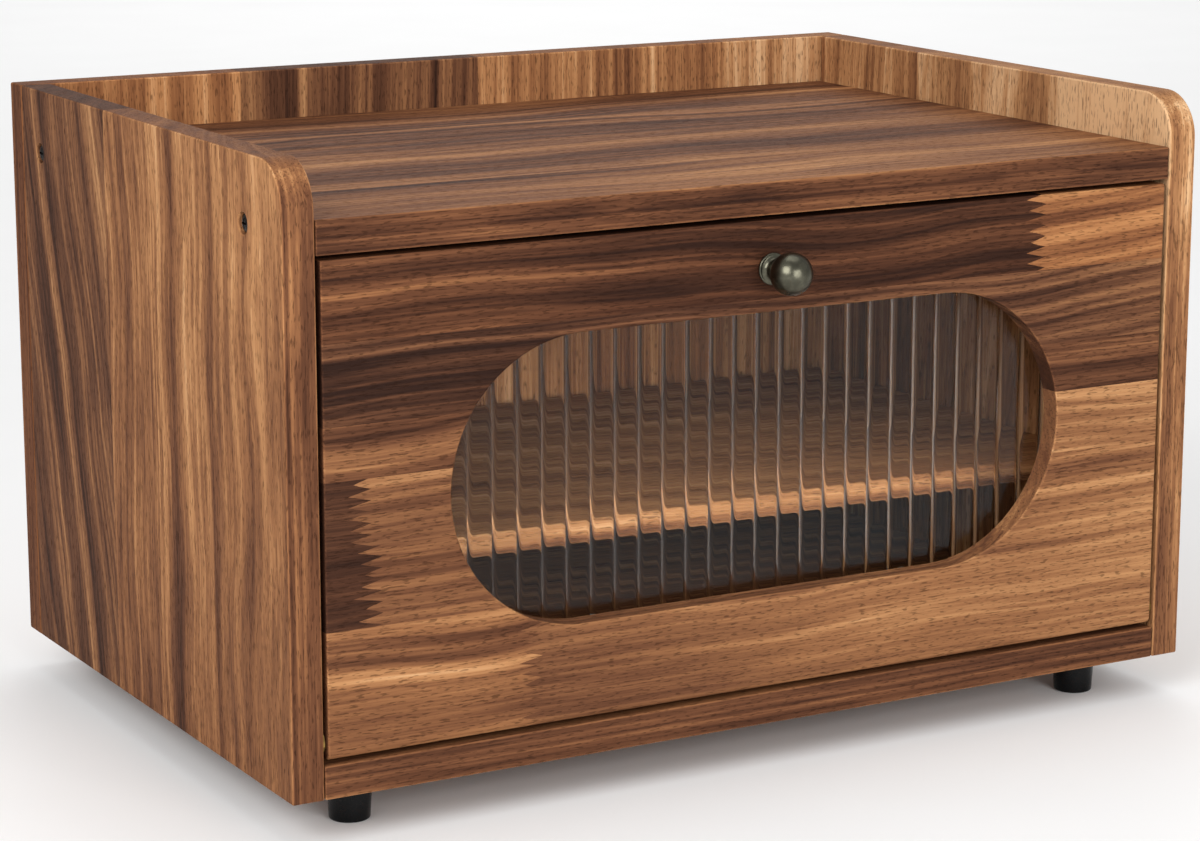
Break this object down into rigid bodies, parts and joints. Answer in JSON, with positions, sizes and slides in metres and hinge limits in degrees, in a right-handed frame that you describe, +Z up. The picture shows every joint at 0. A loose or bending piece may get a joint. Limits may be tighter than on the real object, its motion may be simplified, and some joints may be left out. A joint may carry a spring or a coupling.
{
  "type": "drop-front bread box",
  "caption": "Counter-top wooden bread box with a raised gallery round its top and a drop-front door with a reeded stadium window, ball knob and short feet.",
  "frame": {"origin": "on the surface the box stands on, at the centre of its footprint with the knob included", "axes": "+X to the right as seen from the front, +Y from the door to the back, +Z up; the door faces -Y"},
  "size_m": [0.4, 0.291, 0.249],
  "materials": {
    "side_wood": "clear satin lacquer on acacia, golden to brown stripes, upright grain",
    "back_wood": "clear satin lacquer on acacia staves, upright grain",
    "board_wood": "clear satin lacquer on acacia, grain along the width",
    "door_wood": "clear satin lacquer on finger-jointed acacia staves, grain along the width",
    "beech_dowel": "raw fluted beech",
    "reeded_acrylic": "clear, upright round ribs",
    "antique_pewter": "aged dark nickel with a bright highlight",
    "zinc_steel": "zinc-plated",
    "black_screw": "black oxide",
    "brass_bush": "turned",
    "black_foot": "glossy black",
    "black_catch": "moulded"
  },
  "bodies": {
    "cabinet": {"back_panel": "back_wood", "top_board": "board_wood", "bottom_board": "board_wood", "shelf_board": "board_wood", "left_side_panel": "side_wood", "top_board_screw_front_left": "black_screw", "top_board_screw_rear_left": "black_screw", "dowel_front_left": "beech_dowel", "dowel_rear_left": "beech_dowel", "shelf_pin_front_left": "zinc_steel", "shelf_pin_rear_left": "zinc_steel", "foot_front_left": "black_foot", "foot_screw_front_left": "zinc_steel", "foot_rear_left": "black_foot", "foot_screw_rear_left": "zinc_steel", "pivot_bush_left": "brass_bush", "magnet_catch_left": "black_catch", "catch_screw_left": "zinc_steel", "right_side_panel": "side_wood", "top_board_screw_front_right": "black_screw", "top_board_screw_rear_right": "black_screw", "dowel_front_right": "beech_dowel", "dowel_rear_right": "beech_dowel", "shelf_pin_front_right": "zinc_steel", "shelf_pin_rear_right": "zinc_steel", "foot_front_right": "black_foot", "foot_screw_front_right": "zinc_steel", "foot_rear_right": "black_foot", "foot_screw_rear_right": "zinc_steel", "pivot_bush_right": "brass_bush", "magnet_catch_right": "black_catch", "catch_screw_right": "zinc_steel", "back_screw_left_upper": "zinc_steel", "back_screw_left_lower": "zinc_steel", "back_screw_right_upper": "zinc_steel", "back_screw_right_lower": "zinc_steel", "back_screw_top": "zinc_steel", "back_screw_bottom": "zinc_steel"},
    "door": {"door_panel": "door_wood", "window_pane": "reeded_acrylic", "knob": "antique_pewter", "knob_screw": "zinc_steel", "pane_clip_upper_left": "zinc_steel", "clip_screw_upper_left": "zinc_steel", "pane_clip_upper_right": "zinc_steel", "clip_screw_upper_right": "zinc_steel", "pane_clip_lower_left": "zinc_steel", "clip_screw_lower_left": "zinc_steel", "pane_clip_lower_right": "zinc_steel", "clip_screw_lower_right": "zinc_steel", "pivot_pin_left": "zinc_steel", "strike_plate_left": "zinc_steel", "strike_screw_left": "zinc_steel", "pivot_pin_right": "zinc_steel", "strike_plate_right": "zinc_steel", "strike_screw_right": "zinc_steel"}
  },
  "joints": [
    {"name": "door_hinge", "type": "hinge", "parent": "cabinet", "child": "door", "pos_m": [0, -0.11715, 0.03785], "axis": [1, 0, 0], "range_deg": [0, 90]}
  ]
}
